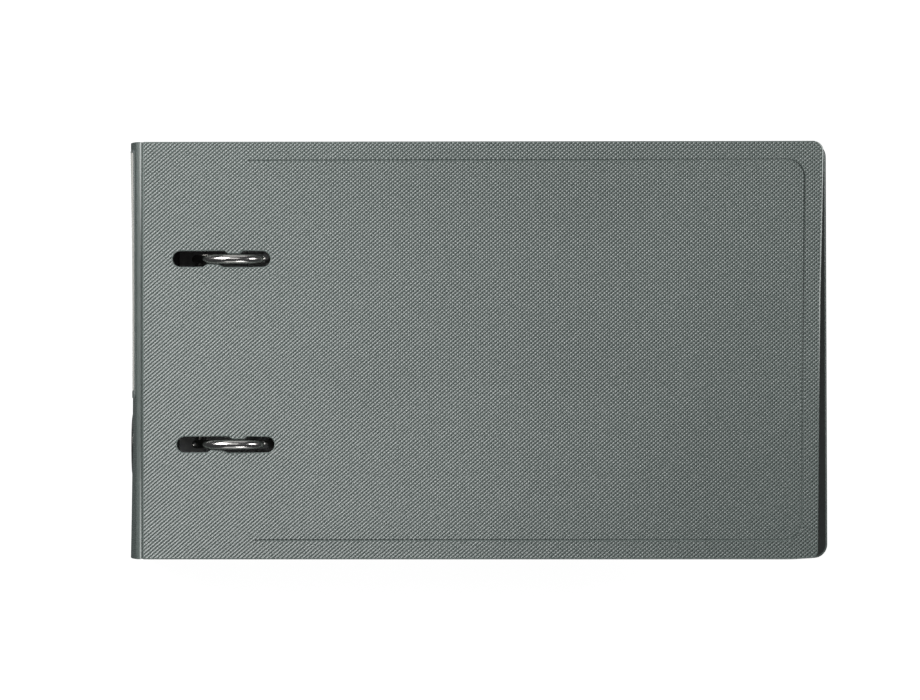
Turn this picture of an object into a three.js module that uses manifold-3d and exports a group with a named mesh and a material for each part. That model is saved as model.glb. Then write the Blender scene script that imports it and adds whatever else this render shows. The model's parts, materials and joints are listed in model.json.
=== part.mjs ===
// A landscape lever arch file: two covers and a bowed spine of one plastic sheet, joined by two
// living hinges, with a riveted steel ring mechanism that is opened by a lever.
// Millimetres. X runs from the fold to the free edges, Y along the fold towards the head, Z up
// from the table that the back cover lies on.
import * as THREE from 'three';
import { mergeVertices } from 'three/addons/utils/BufferGeometryUtils.js';
import Module from 'manifold-3d';

const wasm = await Module();
wasm.setup();

// ---------------------------------------------------------------- driving dimensions

// covers and spine
const boardThickness = 2;
const coverHeight = 180;
const backCoverReach = 298.4;
const backFlare = 0.7;
const frontCoverReach = 294.5;
const frontTaper = 2.2;
const frontBends = [{ share: 0.78, taper: 1.8 }, { share: 0.37, taper: 1.4 }];
const spineWidth = 70;
const spineBow = 3.2;
const foldGap = 0.3;
const coverCorner = 4.5;
const foldCorner = 0.6;

// pressed frame line on the front cover
const grooveWidth = 0.8;
const grooveDepth = 0.3;
const grooveCorner = 7.5;
const grooveStart = 46.8;
const grooveSkew = 3;
const grooveHeadSkew = 0.6;
const grooveTaper = 1.4;
const grooveHeadMargin = 7.5;
const grooveFootMargin = 8.3;
const grooveFreeMargin = 7.8;

// rings
const wireDiameter = 4;
const ringPitch = 80;
const ringSetback = 0.5;
const ringSpan = 32;
const postSetback = 56.2;
const ringStandout = 4.6;
const jointAngle = 41;
const jointGapAngle = 0.5;
const noseLength = 1.6;
const noseBase = 1.6;
const noseTip = 0.7;
const noseClearance = 0.25;
const crankArm = 10.8;
const crankFlat = 8;
const crankBend = 4;
const legBend = 5;

// slots in the front cover, with the tabs that catch under the rings
const slotSideGap = 1.35;
const slotFoldReach = 9;
const slotFreeReach = 1;
const slotStagger = 0.9;
const tabGap = 0.2;
const tabTipHalf = 2.6;
const tabCorner = 0.8;
const nearlyRound = 0.98;
const headTab = { along: 26.4, baseHalf: 4.1 };
const footTab = { along: 17.3, baseHalf: 4.4 };

// base plate and its rivets
const plateThickness = 1;
const plateFoldReach = 9;
const plateFreeReach = 10;
const plateEndReach = 28;
const plateCorner = 6;
const rivetEndReach = 20;
const rivetInset = 6;
const rivetRadius = 1.6;
const rivetClearance = 0.3;
const rivetHeadRadius = 3.5;
const rivetHeadHeight = 1.2;
const rivetFootRadius = 4;
const rivetFootHeight = 0.8;
const rivetRecessClearance = 0.4;
const rivetRecessDepth = 1;

// shaft bearings
const shaftClearance = 2;
const eyeInset = 15;
const eyeWidth = 8;
const eyeGap = 0.3;
const eyeWall = 1;

// posts
const postShoulderRadius = 3.5;
const postShoulderHeight = 1.2;
const postTenonRadius = 1.5;
const postTenonClearance = 0.15;
const postTenonEnd = 0.1;

// lever
const sheet = 1.1;
const leverWidth = 12;
const leverRear = 5;
const leverWallDrop = 3.2;
const leverRoof = 5;
const leverGap = 0.3;
const handleStart = 4.5;
const handleWidth = 6.5;
const handleTipSetback = 1;
const handleTipRise = 14.2;
const handleTipDepth = 3.5;
const handleCurl = 2.2;
const leverFillet = 6;
const leverCorner = 2;
const leverKneeInset = 11;
const leverKneeStagger = 2;
const leverBearingLift = 3.6;
const leverSaddleReach = 5;
const leverSaddleRise = 0.4;
const leverSweepShare = 0.4;
const leverPinRadius = 1.5;
const leverPinClearance = 0.15;
const leverPinHeadRadius = 2.6;
const leverPinHead = 0.9;
const lugHalf = 4;

// roller
const rollerRadius = 3.5;
const rollerSetback = 2;
const rollerPinRadius = 1.25;
const rollerPinHeadRadius = 2;
const rollerPinHead = 0.8;
const headGap = 0.1;

// leaf spring
const springThickness = 0.6;
const springWidth = 8;
const springStart = 4;
const springEnd = 30;
const springRivetInset = 4;
const springRivetRadius = 1.4;
const springRivetHeadRadius = 2.6;
const springRivetHead = 0.8;

// compressor
const barWidth = 16;
const barOffset = 1.5;
const barCorner = 3;
const barEndReach = 12;
const barLift = 1.6;
const barThickness = 1;
const barFlange = 3;
const barHoleClearance = 0.5;
const lockThickness = 0.8;
const lockWidth = 11;
const lockEndReach = 8;
const lockTravel = 5;
const lockTab = 5.3;
const lockTabWidth = 7;
const lockCorner = 1.5;
const guideInset = 20;
const guideRadius = 1.2;
const guideHeadRadius = 2.4;
const guideHead = 0.7;

// finger ring and label
const fingerSetback = 48.7;
const fingerHole = 12;
const fingerBore = 10.6;
const fingerWall = 0.8;
const fingerFlange = 15.5;
const fingerPlate = 0.7;
const fingerWasher = 0.65;
const labelMargin = 8;
const labelHeadMargin = 3.5;
const labelFootGap = 5.3;
const labelRim = 3;
const labelEdgeGap = 0.3;
const skinGap = 0.1;
const cardThickness = 0.25;
const filmThickness = 0.35;

// facets
const wireSides = 12;
const bendStep = 15;
const roundSides = 24;
const smallSides = 16;
const hingeSides = 16;

// ---------------------------------------------------------------- derived places

const hingeRadius = boardThickness / 2;
const panelStart = hingeRadius + foldGap;
const headEdge = coverHeight / 2 + ringSetback;
const footEdge = headEdge - coverHeight;
const backMid = boardThickness / 2;
const frontMid = spineWidth - boardThickness / 2;
const spineMid = spineWidth / 2;
const hingeSpan = frontMid - backMid;
const spineRadius = ((hingeSpan / 2) ** 2 + spineBow ** 2) / (2 * spineBow);
const spineCentreX = spineRadius - spineBow;

const wireRadius = wireDiameter / 2;
const ringY = ringPitch / 2;
const legX = postSetback - ringSpan;
const archRadius = ringSpan / 2;
const archX = legX + archRadius;
const archZ = spineWidth + ringStandout - wireRadius - archRadius;
const plateTop = boardThickness + plateThickness;
const shaftZ = plateTop + shaftClearance + wireRadius;
const crankX = legX + crankArm;
const slotHalf = wireRadius + slotSideGap;
const eyeY = ringY - eyeInset;

const pivotY = -(eyeY + 1);
const pivotZ = shaftZ + wireRadius + leverGap + rollerRadius;
const leverLeft = crankX - leverWidth / 2;
const leverRight = crankX + leverWidth / 2;
const handleTip = headEdge - handleTipSetback;
const leverBack = pivotY - leverRear;
const kneeStart = eyeY - leverKneeInset;
const kneeEnd = ringY - leverFillet;
const lugX = [leverLeft - leverGap - sheet, leverRight + leverGap];

const barX = postSetback + barOffset;
const barBottom = plateTop + barLift;
const barTop = barBottom + barThickness;
const lockBottom = barTop + leverGap;
const lockTop = lockBottom + lockThickness;

const fingerY = footEdge + fingerSetback;
const labelFoot = fingerY + fingerFlange + labelFootGap;
const labelHead = headEdge - labelHeadMargin;
const labelWidth = spineWidth - 2 * labelMargin;

const rivetPlaces = [];
for (const x of [legX - plateFoldReach + rivetInset, postSetback + plateFreeReach - rivetInset]) {
  for (const y of [-ringY - rivetEndReach, ringY + rivetEndReach]) {
    rivetPlaces.push([x, y]);
  }
}

// ---------------------------------------------------------------- materials

const board = new THREE.MeshStandardMaterial({ color: 0x74807c, roughness: 0.55, metalness: 0 });
const nickel = new THREE.MeshStandardMaterial({ color: 0xb9bab6, roughness: 0.25, metalness: 1 });
const zinc = new THREE.MeshStandardMaterial({ color: 0x9da0a0, roughness: 0.4, metalness: 0.9 });
const spring = new THREE.MeshStandardMaterial({ color: 0x6f7378, roughness: 0.35, metalness: 1 });
const plastic = new THREE.MeshStandardMaterial({ color: 0x1d1f20, roughness: 0.5, metalness: 0 });
const film = new THREE.MeshStandardMaterial({ color: 0xe4e8e8, roughness: 0.15, metalness: 0 });
const card = new THREE.MeshStandardMaterial({ color: 0xefece2, roughness: 0.9, metalness: 0 });

// ---------------------------------------------------------------- solids

// A closed solid that can be joined and cut, from any closed geometry.
function solid(geometry) {
  geometry.deleteAttribute('normal');
  geometry.deleteAttribute('uv');
  const merged = mergeVertices(geometry, 1e-4);
  const triangles = [];
  for (let i = 0; i < merged.index.count; i += 3) {
    const [a, b, c] = [0, 1, 2].map((corner) => merged.index.getX(i + corner));
    if (a !== b && b !== c && c !== a) triangles.push(a, b, c);
  }
  const vertProperties = new Float32Array(merged.attributes.position.array);
  const triVerts = new Uint32Array(triangles);
  return new wasm.Manifold(new wasm.Mesh({ numProp: 3, vertProperties, triVerts }));
}

function mesh(name, manifold, material) {
  const { vertProperties, triVerts } = manifold.getMesh();
  const geometry = new THREE.BufferGeometry();
  geometry.setAttribute('position', new THREE.BufferAttribute(vertProperties, 3));
  geometry.setIndex(new THREE.BufferAttribute(triVerts, 1));
  geometry.computeVertexNormals();
  const piece = new THREE.Mesh(geometry, material);
  piece.name = name;
  return piece;
}

// A closed outline of straight sides; each corner is [x, y, radius].
function outline(corners) {
  const shape = new THREE.Shape();
  corners.forEach(([x, y, radius = 0], i) => {
    const corner = new THREE.Vector2(x, y);
    const before = new THREE.Vector2(...corners.at(i - 1)).sub(corner).normalize();
    const after = new THREE.Vector2(...corners[(i + 1) % corners.length]).sub(corner).normalize();
    const halfAngle = Math.acos(before.dot(after)) / 2;
    const reach = radius / Math.tan(halfAngle);
    const start = corner.clone().addScaledVector(before, reach);
    const end = corner.clone().addScaledVector(after, reach);
    if (i === 0) shape.moveTo(start.x, start.y);
    else shape.lineTo(start.x, start.y);
    if (radius > 0) {
      const inward = before.clone().add(after).normalize();
      const centre = corner.clone().addScaledVector(inward, radius / Math.sin(halfAngle));
      const from = start.clone().sub(centre).angle();
      const to = end.clone().sub(centre).angle();
      shape.absarc(centre.x, centre.y, radius, from, to, before.cross(after) > 0);
    }
  });
  shape.closePath();
  return shape;
}

// The same corners with every side moved inwards; counter-clockwise corners only.
function inset(corners, distance) {
  return corners.map(([x, y, radius = 0], i) => {
    const corner = new THREE.Vector2(x, y);
    const arriving = corner.clone().sub(new THREE.Vector2(...corners.at(i - 1))).normalize();
    const leaving = new THREE.Vector2(...corners[(i + 1) % corners.length]).sub(corner).normalize();
    const turn = arriving.cross(leaving);
    const inward = new THREE.Vector2(-arriving.y - leaving.y, arriving.x + leaving.x);
    corner.addScaledVector(inward, distance / (1 + arriving.dot(leaving)));
    const rounded = radius > 0 ? Math.max(radius - Math.sign(turn) * distance, 0) : 0;
    return [corner.x, corner.y, rounded];
  });
}

function rectangle(x0, y0, x1, y1, radius = 0) {
  return [[x0, y0, radius], [x1, y0, radius], [x1, y1, radius], [x0, y1, radius]];
}

// An outline in X and Y, extruded up from one height to another.
function slab(shape, bottom, top, curveSegments = 3) {
  const options = { depth: top - bottom, bevelEnabled: false, curveSegments };
  return solid(new THREE.ExtrudeGeometry(shape, options).translate(0, 0, bottom));
}

// An outline in X and Z, extruded along Y.
function slabAlongY(shape, from, to, curveSegments = 3) {
  const options = { depth: to - from, bevelEnabled: false, curveSegments };
  const geometry = new THREE.ExtrudeGeometry(shape, options);
  return solid(geometry.rotateX(Math.PI / 2).translate(0, to, 0));
}

// An outline in Y and Z, extruded along X.
function slabAlongX(shape, from, to, curveSegments = 3) {
  const options = { depth: to - from, bevelEnabled: false, curveSegments };
  const geometry = new THREE.ExtrudeGeometry(shape, options);
  const turn = new THREE.Matrix4().makeBasis(
    new THREE.Vector3(0, 1, 0),
    new THREE.Vector3(0, 0, 1),
    new THREE.Vector3(1, 0, 0),
  );
  return solid(geometry.applyMatrix4(turn).translate(from, 0, 0));
}

function block(x0, y0, z0, x1, y1, z1) {
  const geometry = new THREE.BoxGeometry(x1 - x0, y1 - y0, z1 - z0);
  return solid(geometry.translate((x0 + x1) / 2, (y0 + y1) / 2, (z0 + z1) / 2));
}

// A turned piece from a profile of [radius, along], stood up on Z at a place.
function turnedUp(profile, x, y, sides = smallSides) {
  const points = profile.map(([radius, along]) => new THREE.Vector2(radius, along));
  const geometry = new THREE.LatheGeometry(points, sides);
  return solid(geometry.rotateX(Math.PI / 2).translate(x, y, 0));
}

// A turned piece laid along X, at a place in Y and Z.
function turnedAlongX(profile, y, z, sides = smallSides) {
  const points = profile.map(([radius, along]) => new THREE.Vector2(radius, along));
  const geometry = new THREE.LatheGeometry(points, sides);
  return solid(geometry.rotateZ(-Math.PI / 2).translate(0, y, z));
}

function rod(radius, from, to) {
  return [[0, from], [radius, from], [radius, to], [0, to]];
}

// A rivet: a foot, a shank and a head, as one profile.
function rivet(shank, foot, footHeight, footTop, head, headBottom, headHeight) {
  return [
    [0, footTop - footHeight],
    [foot, footTop - footHeight],
    [foot, footTop],
    [shank, footTop],
    [shank, headBottom],
    [head, headBottom],
    [head, headBottom + headHeight],
    [0, headBottom + headHeight],
  ];
}

// Wire as a bender makes it: fed straight, then bent round a former, station by station.
class BentWire extends THREE.Curve {
  constructor(point, heading) {
    super();
    this.stations = [{ point, heading }];
  }

  feed(length) {
    const { point, heading } = this.stations.at(-1);
    this.stations.push({ point: point.clone().addScaledVector(heading, length), heading });
    return this;
  }

  bend(side, radius, degrees) {
    const { point, heading } = this.stations.at(-1);
    const centre = point.clone().addScaledVector(side, radius);
    const steps = Math.ceil(degrees / bendStep);
    for (let step = 1; step <= steps; step += 1) {
      const angle = THREE.MathUtils.degToRad(degrees * step / steps);
      const bent = centre.clone()
        .addScaledVector(side, -radius * Math.cos(angle))
        .addScaledVector(heading, radius * Math.sin(angle));
      const turned = heading.clone()
        .multiplyScalar(Math.cos(angle))
        .addScaledVector(side, Math.sin(angle));
      this.stations.push({ point: bent, heading: turned });
    }
    return this;
  }

  // The wire carried on to the other side of the middle plane Y = 0.
  mirrored() {
    const mirror = this.stations.slice(1).reverse().map(({ point, heading }) => ({
      point: new THREE.Vector3(point.x, -point.y, point.z),
      heading: new THREE.Vector3(-heading.x, heading.y, -heading.z),
    }));
    this.stations.unshift(...mirror);
    return this;
  }

  getPointAt(share) {
    return this.stations[Math.round(share * (this.stations.length - 1))].point.clone();
  }

  getTangentAt(share) {
    return this.stations[Math.round(share * (this.stations.length - 1))].heading.clone();
  }

  solid(radius) {
    const section = new THREE.Shape();
    for (let side = 0; side < wireSides; side += 1) {
      const angle = 2 * Math.PI * side / wireSides;
      if (side === 0) section.moveTo(radius, 0);
      else section.lineTo(radius * Math.cos(angle), radius * Math.sin(angle));
    }
    const options = { steps: this.stations.length - 1, extrudePath: this };
    return solid(new THREE.ExtrudeGeometry(section, options));
  }
}

// ---------------------------------------------------------------- covers

function backCover() {
  const corners = [
    [panelStart, footEdge, foldCorner],
    [backCoverReach + backFlare, footEdge, coverCorner],
    [backCoverReach, headEdge, coverCorner],
    [panelStart, headEdge, foldCorner],
  ];
  let panel = slab(outline(corners), 0, boardThickness);
  for (const [x, y] of rivetPlaces) {
    const recess = rod(rivetFootRadius + rivetRecessClearance, -1, rivetRecessDepth);
    const hole = rod(rivetRadius + rivetClearance, -1, boardThickness + 1);
    panel = panel.subtract(turnedUp(recess, x, y)).subtract(turnedUp(hole, x, y));
  }
  return mesh('back_cover', panel, board);
}

// The outline of a ring slot, with one staggered tab on each long edge.
function slotOutline(start, y) {
  const end = start + slotFoldReach + ringSpan + slotFreeReach;
  const endRadius = slotHalf * nearlyRound;
  const tip = wireRadius + tabGap;
  return outline([
    [start, y - slotHalf, endRadius],
    [start + footTab.along - footTab.baseHalf, y - slotHalf],
    [start + footTab.along - tabTipHalf, y - tip, tabCorner],
    [start + footTab.along + tabTipHalf, y - tip, tabCorner],
    [start + footTab.along + footTab.baseHalf, y - slotHalf],
    [end, y - slotHalf, endRadius],
    [end, y + slotHalf, endRadius],
    [start + headTab.along + headTab.baseHalf, y + slotHalf],
    [start + headTab.along + tabTipHalf, y + tip, tabCorner],
    [start + headTab.along - tabTipHalf, y + tip, tabCorner],
    [start + headTab.along - headTab.baseHalf, y + slotHalf],
    [start, y + slotHalf, endRadius],
  ]);
}

// The pressed line runs parallel to the head, free and foot edges and stops short of the spine.
function frameLine() {
  const half = grooveWidth / 2;
  const head = headEdge - grooveHeadMargin;
  const foot = footEdge + grooveFootMargin;
  const headFree = frontCoverReach - grooveFreeMargin;
  const footFree = headFree - grooveTaper;
  return outline([
    [grooveStart + grooveSkew, foot - half],
    [footFree + half, foot - half, grooveCorner + half],
    [headFree + half, head + half, grooveCorner + half],
    [grooveStart, head - grooveHeadSkew + half],
    [grooveStart, head - grooveHeadSkew - half],
    [headFree - half, head - half, grooveCorner - half],
    [footFree - half, foot + half, grooveCorner - half],
    [grooveStart + grooveSkew, foot + half],
  ]);
}

function frontCover() {
  const bottom = spineWidth - boardThickness;
  const bend = ({ share, taper }) => [frontCoverReach - taper, headEdge - share * coverHeight];
  const freeEdge = frontBends.map(bend);
  const corners = [
    [panelStart, footEdge, foldCorner],
    [frontCoverReach - frontTaper, footEdge, coverCorner],
    ...freeEdge,
    [frontCoverReach, headEdge, coverCorner],
    [panelStart, headEdge, foldCorner],
  ];
  let panel = slab(outline(corners), bottom, spineWidth);
  for (const side of [-1, 1]) {
    const start = legX - slotFoldReach - side * slotStagger;
    panel = panel.subtract(slab(slotOutline(start, side * ringY), bottom - 1, spineWidth + 1));
  }
  panel = panel.subtract(slab(frameLine(), spineWidth - grooveDepth, spineWidth + 1));
  return mesh('front_cover', panel, board);
}

function hingeWeb(name, height) {
  const geometry = new THREE.CylinderGeometry(hingeRadius, hingeRadius, coverHeight, hingeSides);
  return mesh(name, solid(geometry.translate(0, ringSetback, height)), board);
}

// A band that follows the bow of the spine, between two distances outside its middle surface and
// over a width measured across the spine.
function bowedBand(inside, outside, width, foot, head) {
  const reach = Math.asin(width / 2 / spineRadius);
  const shape = new THREE.Shape();
  const [outer, inner] = [spineRadius + outside, spineRadius + inside];
  shape.absarc(spineCentreX, spineMid, outer, Math.PI - reach, Math.PI + reach, false);
  shape.absarc(spineCentreX, spineMid, inner, Math.PI + reach, Math.PI - reach, true);
  shape.closePath();
  return slabAlongY(shape, foot, head, 8);
}

function spinePanel() {
  const half = boardThickness / 2;
  const width = hingeSpan - 2 * panelStart;
  const hole = turnedAlongX(rod(fingerHole, -spineWidth, spineWidth), fingerY, spineMid, roundSides);
  const band = bowedBand(-half, half, width, footEdge, headEdge);
  return mesh('spine_panel', band.subtract(hole), board);
}

function labelPocket() {
  const inside = boardThickness / 2 + skinGap;
  const space = inside + cardThickness + skinGap;
  const pocket = bowedBand(inside, space + filmThickness, labelWidth, labelFoot, labelHead);
  const innerWidth = labelWidth - 2 * labelRim;
  const hollow = bowedBand(inside - 1, space, innerWidth, labelFoot + labelRim, labelHead + 1);
  return mesh('label_pocket', pocket.subtract(hollow), film);
}

function labelCard() {
  const inside = boardThickness / 2 + skinGap;
  const width = labelWidth - 2 * labelRim - 2 * labelEdgeGap;
  const foot = labelFoot + labelRim + labelEdgeGap;
  return mesh('label_card', bowedBand(inside, inside + cardThickness, width, foot, labelHead), card);
}

function fingerRingOuter() {
  const outside = -spineBow - boardThickness / 2 - skinGap;
  const wall = fingerBore + fingerWall;
  const washer = -spineBow + boardThickness / 2 + fingerFlange ** 2 / (2 * spineRadius);
  const lip = washer + skinGap + fingerWasher + skinGap;
  const profile = [
    [fingerBore, outside - fingerPlate],
    [fingerFlange, outside - fingerPlate],
    [fingerFlange, outside],
    [wall, outside],
    [wall, lip],
    [fingerHole + fingerWall, lip],
    [fingerHole + fingerWall, lip + fingerPlate / 2],
    [fingerBore, lip + fingerPlate / 2],
    [fingerBore, outside - fingerPlate],
  ];
  return mesh('finger_ring_outer', turnedAlongX(profile, fingerY, spineMid, roundSides), nickel);
}

function fingerRingInner() {
  const from = -spineBow + boardThickness / 2 + fingerFlange ** 2 / (2 * spineRadius) + skinGap;
  const bore = fingerBore + fingerWall + eyeGap;
  const profile = [
    [bore, from],
    [fingerFlange, from],
    [fingerFlange, from + fingerWasher],
    [bore, from + fingerWasher],
    [bore, from],
  ];
  return mesh('finger_ring_inner', turnedAlongX(profile, fingerY, spineMid, roundSides), nickel);
}

// ---------------------------------------------------------------- ring mechanism

function basePlate() {
  const end = ringY + plateEndReach;
  const corners = rectangle(
    legX - plateFoldReach,
    -end,
    postSetback + plateFreeReach,
    end,
    plateCorner,
  );
  let plate = slab(outline(corners), boardThickness, plateTop);
  const eyeRadius = wireRadius + eyeGap + eyeWall;
  for (const y of [-eyeY, eyeY]) {
    const eye = new THREE.CylinderGeometry(eyeRadius, eyeRadius, eyeWidth, roundSides);
    const bore = new THREE.CylinderGeometry(wireRadius + eyeGap, wireRadius + eyeGap, eyeWidth + 2);
    const half = eyeWidth / 2;
    const foot = block(
      legX - wireRadius, y - half, boardThickness + plateThickness / 2,
      legX + wireRadius, y + half, shaftZ,
    );
    plate = plate.add(foot).add(solid(eye.translate(legX, y, shaftZ)));
    plate = plate.subtract(solid(bore.translate(legX, y, shaftZ)));
  }
  const lug = outline([
    [pivotY - lugHalf, boardThickness + plateThickness / 2],
    [pivotY + lugHalf, boardThickness + plateThickness / 2],
    [pivotY + lugHalf, pivotZ + lugHalf, lugHalf * nearlyRound],
    [pivotY - lugHalf, pivotZ + lugHalf, lugHalf * nearlyRound],
  ]);
  for (const x of lugX) plate = plate.add(slabAlongX(lug, x, x + sheet));
  const pinHole = rod(leverPinRadius + leverPinClearance, lugX[0] - 1, lugX[1] + sheet + 1);
  plate = plate.subtract(turnedAlongX(pinHole, pivotY, pivotZ));
  for (const [x, y] of rivetPlaces) {
    plate = plate.subtract(turnedUp(rod(rivetRadius + rivetClearance, 0, plateTop + 1), x, y));
  }
  for (const y of [-ringY, ringY]) {
    const hole = rod(postTenonRadius + postTenonClearance, 0, plateTop + 1);
    plate = plate.subtract(turnedUp(hole, postSetback, y));
  }
  const springHole = rod(springRivetRadius + postTenonClearance, 0, plateTop + 1);
  plate = plate.subtract(turnedUp(springHole, crankX, springEnd - springRivetInset));
  return mesh('base_plate', plate, zinc);
}

function coverRivet(x, y, index) {
  const footTop = rivetRecessDepth;
  const profile = rivet(
    rivetRadius, rivetFootRadius, rivetFootHeight, footTop,
    rivetHeadRadius, plateTop, rivetHeadHeight,
  );
  return mesh(`cover_rivet_${index}`, turnedUp(profile, x, y), nickel);
}

function ringArches() {
  const up = new THREE.Vector3(0, 0, 1);
  const back = new THREE.Vector3(-1, 0, 0);
  const along = new THREE.Vector3(0, 1, 0);
  const over = new THREE.Vector3(1, 0, 0);
  const turn = 180 - jointAngle - jointGapAngle;
  const shaftStart = crankFlat / 2 + 2 * crankBend;
  const wire = new BentWire(new THREE.Vector3(crankX, 0, shaftZ), along)
    .feed(crankFlat / 2)
    .bend(back, crankBend, 90)
    .feed(crankArm - 2 * crankBend)
    .bend(along, crankBend, 90)
    .feed(ringY - legBend - shaftStart)
    .bend(up, legBend, 90)
    .feed(archZ - shaftZ - legBend)
    .bend(over, archRadius, turn);
  let arches = wire.mirrored().solid(wireRadius);
  for (const y of [-ringY, ringY]) {
    const profile = [[0, -noseBase], [noseBase, -noseBase], [noseBase, 0], [noseTip, noseLength]];
    const nose = atJoint([...profile, [0, noseLength]], jointAngle + jointGapAngle, y);
    arches = arches.add(nose);
  }
  return mesh('ring_arches', arches, nickel);
}

// A turned piece set on the centre line of a ring at an angle above the post side, pointing down
// the wire towards the post.
function atJoint(profile, degrees, y) {
  const angle = THREE.MathUtils.degToRad(degrees);
  const points = profile.map(([radius, along]) => new THREE.Vector2(radius, along));
  const geometry = new THREE.LatheGeometry(points, smallSides);
  geometry.rotateX(Math.PI / 2);
  const heading = new THREE.Vector3(Math.sin(angle), 0, -Math.cos(angle));
  const turn = new THREE.Quaternion().setFromUnitVectors(new THREE.Vector3(0, 0, 1), heading);
  geometry.applyQuaternion(turn);
  const x = archX + archRadius * Math.cos(angle);
  const z = archZ + archRadius * Math.sin(angle);
  return solid(geometry.translate(x, y, z));
}

function post(name, y) {
  const back = new THREE.Vector3(-1, 0, 0);
  const start = plateTop + postShoulderHeight / 2;
  const wire = new BentWire(new THREE.Vector3(postSetback, y, start), new THREE.Vector3(0, 0, 1))
    .feed(archZ - start)
    .bend(back, archRadius, jointAngle - jointGapAngle);
  const shoulderTop = plateTop + postShoulderHeight;
  const foot = turnedUp([
    [0, boardThickness + postTenonEnd],
    [postTenonRadius, boardThickness + postTenonEnd],
    [postTenonRadius, plateTop],
    [postShoulderRadius, plateTop],
    [postShoulderRadius, shoulderTop],
    [0, shoulderTop],
  ], postSetback, y);
  const gap = 2 * jointGapAngle * Math.PI / 180 * archRadius;
  const slope = (noseBase - noseTip) / noseLength;
  const depth = noseLength - gap + noseClearance;
  const mouth = noseBase - slope * gap + noseClearance;
  const socket = atJoint([
    [0, -1],
    [mouth + slope, -1],
    [mouth - slope * depth, depth],
    [0, depth],
  ], jointAngle - jointGapAngle, y);
  return mesh(name, wire.solid(wireRadius).add(foot).subtract(socket), nickel);
}

// ---------------------------------------------------------------- lever

// The lever is a pressed channel: straight over the crank, then stepping across to run beside the
// rings, close to the spine.
function leverPlan() {
  const handleEnd = handleStart + handleWidth;
  return [
    [leverLeft, leverBack, leverCorner],
    [leverRight, leverBack, leverCorner],
    [leverRight, kneeStart, leverFillet],
    [handleEnd, kneeEnd, leverFillet],
    [handleEnd, handleTip, leverCorner],
    [handleStart, handleTip, leverCorner],
    [handleStart, kneeEnd - 2 * leverKneeStagger, leverFillet],
    [leverLeft, kneeStart - leverKneeStagger, leverFillet],
  ];
}

// The lever's height along its length; the hollow's outline is lower at the roof and open below.
function leverSide(roofDrop, wallExtra) {
  const roof = pivotZ + leverRoof - roofDrop;
  const floor = pivotZ - leverWallDrop - wallExtra;
  const tipRoof = pivotZ + handleTipRise - roofDrop;
  const middle = (eyeY + handleTip) / 2;
  return outline([
    [leverBack, floor],
    [kneeStart, floor],
    [eyeY - eyeWidth / 2 + 1, floor + leverBearingLift],
    [handleTip, tipRoof + roofDrop - handleTipDepth - wallExtra],
    [handleTip, tipRoof],
    [middle, roof + (tipRoof - roof) * leverSweepShare],
    [eyeY + leverSaddleReach, roof + leverSaddleRise],
    [kneeStart, roof],
    [leverBack, roof],
  ]);
}

function lever() {
  const far = spineWidth + coverHeight;
  const plan = leverPlan();
  const outer = slab(outline(plan), 0, far, 2)
    .intersect(slabAlongX(leverSide(0, 0), -far, far));
  const inner = slab(outline(inset(plan, sheet)), 0, far, 2)
    .intersect(slabAlongX(leverSide(sheet, spineWidth), -far, far));
  let channel = outer.subtract(inner);
  const curl = rod(handleCurl, handleStart, handleStart + handleWidth);
  channel = channel.add(turnedAlongX(curl, handleTip - handleCurl, pivotZ + handleTipRise - handleCurl));
  const pinHole = rod(leverPinRadius + leverPinClearance, leverLeft - 1, leverRight + 1);
  const rollerHole = rod(rollerPinRadius + leverPinClearance, leverLeft - 1, leverRight + 1);
  channel = channel.subtract(turnedAlongX(pinHole, pivotY, pivotZ));
  channel = channel.subtract(turnedAlongX(rollerHole, -rollerSetback, pivotZ));
  return mesh('lever', channel, nickel);
}

function crossPin(name, radius, head, headWidth, from, to, y) {
  const profile = [
    [0, from - headGap - headWidth],
    [head, from - headGap - headWidth],
    [head, from - headGap],
    [radius, from - headGap],
    [radius, to + headGap],
    [head, to + headGap],
    [head, to + headGap + headWidth],
    [0, to + headGap + headWidth],
  ];
  return mesh(name, turnedAlongX(profile, y, pivotZ), nickel);
}

function roller() {
  const from = leverLeft + sheet + leverGap;
  const to = leverRight - sheet - leverGap;
  const bore = rollerPinRadius + leverGap;
  const profile = [[bore, from], [rollerRadius, from], [rollerRadius, to], [bore, to], [bore, from]];
  return mesh('roller', turnedAlongX(profile, -rollerSetback, pivotZ, roundSides), plastic);
}

function leafSpring() {
  const top = shaftZ - wireRadius - leverGap;
  const [x0, x1] = [crankX - springWidth / 2, crankX + springWidth / 2];
  const side = outline([
    [-springStart, top - springThickness],
    [springEnd / 2, plateTop],
    [springEnd, plateTop],
    [springEnd, plateTop + springThickness],
    [springEnd / 2, plateTop + springThickness],
    [-springStart, top],
  ]);
  const hole = rod(springRivetRadius + postTenonClearance, 0, shaftZ);
  const leaf = slabAlongX(side, x0, x1);
  return mesh(
    'leaf_spring',
    leaf.subtract(turnedUp(hole, crankX, springEnd - springRivetInset)),
    spring,
  );
}

function leafSpringRivet() {
  const profile = [
    [0, boardThickness + postTenonEnd],
    [springRivetRadius, boardThickness + postTenonEnd],
    [springRivetRadius, plateTop + springThickness],
    [springRivetHeadRadius, plateTop + springThickness],
    [springRivetHeadRadius, plateTop + springThickness + springRivetHead],
    [0, plateTop + springThickness + springRivetHead],
  ];
  return mesh('leaf_spring_rivet', turnedUp(profile, crankX, springEnd - springRivetInset), nickel);
}

// ---------------------------------------------------------------- compressor

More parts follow.
